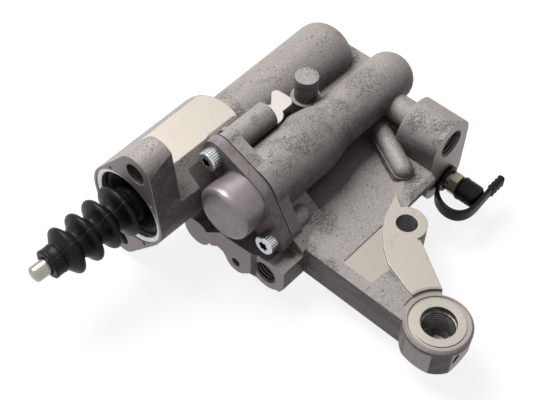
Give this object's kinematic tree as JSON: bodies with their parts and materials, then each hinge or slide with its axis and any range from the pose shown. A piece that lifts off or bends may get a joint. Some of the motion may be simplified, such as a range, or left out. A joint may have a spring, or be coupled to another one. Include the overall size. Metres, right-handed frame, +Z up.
{
  "type": "clutch slave cylinder with control valve",
  "caption": "Cast aluminium clutch slave cylinder with a flanged pushrod end under a rubber boot, a capped control valve, a bracket arm with an air port and a capped bleeder.",
  "frame": {"origin": "centre of the pushrod's recess, on the front mounting face", "axes": "+X along the cylinder, the way the pushrod leaves; +Z up, square to the milled pad; +Y towards the valve and the arm"},
  "size_m": [0.2017, 0.1714, 0.079],
  "materials": {
    "cast_body": "die cast, blasted, milled on its joint faces",
    "bright_steel": "turned bright",
    "black_rubber": "moulded, semi-matt",
    "spring_steel": "dark drawn wire",
    "piston_metal": "turned, anodised",
    "cap_metal": "die cast, blasted",
    "zinc": "bright zinc plated",
    "gasket_sheet": "fibre sheet",
    "band_plastic": "filled plastic",
    "brass": "turned, yellow passivated"
  },
  "bodies": {
    "housing": {"body_casting": "cast_body", "boot_ring": "bright_steel", "boot": "black_rubber", "stop_ring": "spring_steel", "return_spring": "spring_steel", "valve_cap": "cap_metal", "cap_gasket": "gasket_sheet", "cap_screws": "zinc", "plunger_spring": "spring_steel", "valve_seat": "brass", "valve_seat_seal": "black_rubber", "valve_seat_ring": "spring_steel", "poppet_spring": "spring_steel", "cap_strap": "black_rubber", "ball_plugs": "bright_steel"},
    "rod": {"pushrod": "bright_steel"},
    "piston_set": {"piston": "piston_metal", "piston_seal": "black_rubber", "guide_band": "band_plastic", "rod_clip": "spring_steel"},
    "plunger_set": {"valve_plunger": "brass", "plunger_seals": "black_rubber"},
    "poppet_set": {"valve_poppet": "brass", "poppet_disc": "black_rubber"},
    "bleeder": {"bleeder_screw": "brass"},
    "rubber_cap": {"bleeder_cap": "black_rubber"}
  },
  "joints": [
    {"name": "piston_slide", "type": "slide", "parent": "housing", "child": "piston_set", "axis": [1, 0, 0], "range_m": [-0.022, 0], "stiffness_N_per_m": 400, "springref_m": 0.04, "deforming": ["return_spring"]},
    {"name": "rod_slide", "type": "slide", "parent": "housing", "child": "rod", "axis": [1, 0, 0], "range_m": [-0.022, 0], "deforming": ["boot"]},
    {"name": "plunger_slide", "type": "slide", "parent": "housing", "child": "plunger_set", "axis": [-1, 0, 0], "range_m": [0, 0.003], "stiffness_N_per_m": 1000, "springref_m": -0.01, "deforming": ["plunger_spring"]},
    {"name": "poppet_slide", "type": "slide", "parent": "housing", "child": "poppet_set", "axis": [-1, 0, 0], "range_m": [0, 0.003], "stiffness_N_per_m": 200, "springref_m": -0.01, "deforming": ["poppet_spring"]},
    {"name": "bleeder_turn", "type": "hinge", "parent": "housing", "child": "bleeder", "pos_m": [-0.129, 0.0896, -0.0236], "axis": [0, 1, 0], "range_deg": [0, 270]},
    {"name": "cap_pull", "type": "slide", "parent": "housing", "child": "rubber_cap", "axis": [0, 1, 0], "range_m": [0, 0.014], "deforming": ["cap_strap"]}
  ],
  "couplings": [
    {"joint": "rod_slide", "follows": "piston_slide", "ratio": 1},
    {"joint": "poppet_slide", "follows": "plunger_slide", "ratio": 1}
  ]
}
